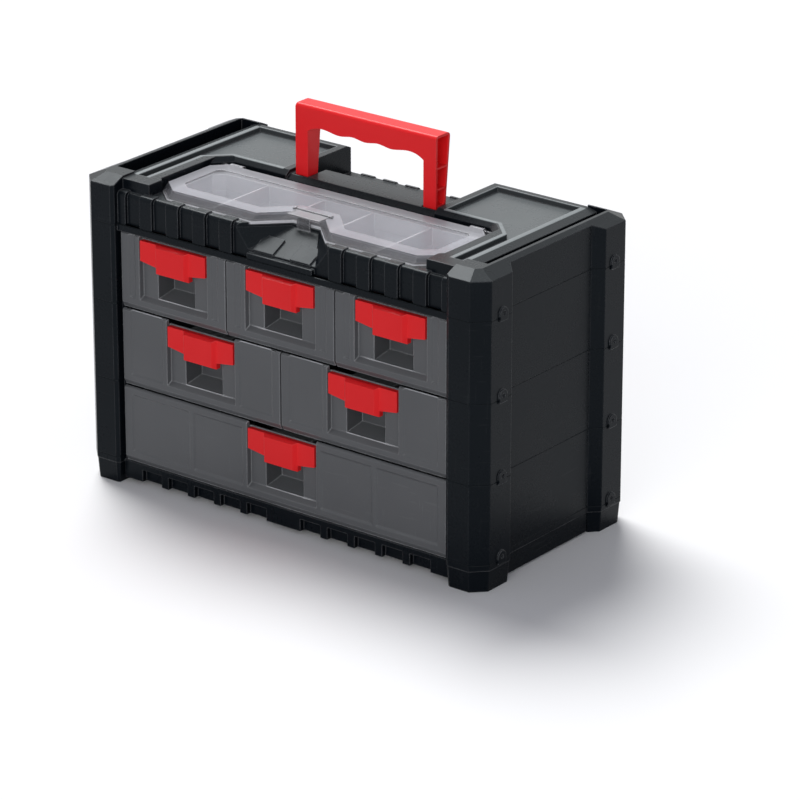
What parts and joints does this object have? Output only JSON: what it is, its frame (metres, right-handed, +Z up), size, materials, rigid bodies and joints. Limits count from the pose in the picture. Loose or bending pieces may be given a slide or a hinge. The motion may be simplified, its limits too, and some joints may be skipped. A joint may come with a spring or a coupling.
{
  "type": "tool storage caddy",
  "caption": "Portable tool storage caddy: stacked black frame with grey pull-out drawers, red pulls, a notched milky lid over small-parts bins and a folding red carry handle.",
  "frame": {"origin": "centre of the footprint on the floor", "axes": "+X to the right of someone facing the drawers, +Y to the rear, +Z up"},
  "size_m": [0.403, 0.196, 0.3138],
  "materials": {
    "frame_black": "fine-grained moulded black plastic",
    "drawer_grey": "fine-grained moulded grey plastic",
    "red_plastic": "satin moulded red plastic",
    "lid_milky": "smooth milky translucent plastic",
    "latch_clear": "smooth clear plastic",
    "tray_plastic": "moulded pale grey plastic"
  },
  "bodies": {
    "case": {"base_frame": "frame_black", "lower_tier": "frame_black", "middle_tier": "frame_black", "upper_tier": "frame_black", "top_cap": "frame_black", "bin_tray": "tray_plastic"},
    "drawer_bottom_body": {"drawer_bottom": "drawer_grey", "pull_bottom": "red_plastic"},
    "drawer_middle_left_body": {"drawer_middle_left": "drawer_grey", "pull_middle_left": "red_plastic"},
    "drawer_middle_right_body": {"drawer_middle_right": "drawer_grey", "pull_middle_right": "red_plastic"},
    "drawer_top_left_body": {"drawer_top_left": "drawer_grey", "pull_top_left": "red_plastic"},
    "drawer_top_middle_body": {"drawer_top_middle": "drawer_grey", "pull_top_middle": "red_plastic"},
    "drawer_top_right_body": {"drawer_top_right": "drawer_grey", "pull_top_right": "red_plastic"},
    "lid": {"bin_lid": "lid_milky"},
    "latch": {"lid_latch": "latch_clear"},
    "handle": {"carry_handle": "red_plastic"}
  },
  "joints": [
    {"name": "bottom_slide", "type": "slide", "parent": "case", "child": "drawer_bottom_body", "axis": [0, -1, 0], "range_m": [0, 0.13]},
    {"name": "middle_left_slide", "type": "slide", "parent": "case", "child": "drawer_middle_left_body", "axis": [0, -1, 0], "range_m": [0, 0.13]},
    {"name": "middle_right_slide", "type": "slide", "parent": "case", "child": "drawer_middle_right_body", "axis": [0, -1, 0], "range_m": [0, 0.13]},
    {"name": "top_left_slide", "type": "slide", "parent": "case", "child": "drawer_top_left_body", "axis": [0, -1, 0], "range_m": [0, 0.13]},
    {"name": "top_middle_slide", "type": "slide", "parent": "case", "child": "drawer_top_middle_body", "axis": [0, -1, 0], "range_m": [0, 0.13]},
    {"name": "top_right_slide", "type": "slide", "parent": "case", "child": "drawer_top_right_body", "axis": [0, -1, 0], "range_m": [0, 0.13]},
    {"name": "lid_hinge", "type": "hinge", "parent": "case", "child": "lid", "pos_m": [0, 0.002, 0.2514], "axis": [-1, 0, 0], "range_deg": [0, 90]},
    {"name": "latch_hinge", "type": "hinge", "parent": "lid", "child": "latch", "pos_m": [0, -0.0505, 0.2544], "axis": [-1, 0, 0], "range_deg": [0, 30]},
    {"name": "handle_fold", "type": "hinge", "parent": "case", "child": "handle", "pos_m": [0, 0.0205, 0.25], "axis": [-1, 0, 0], "range_deg": [0, 90]}
  ]
}
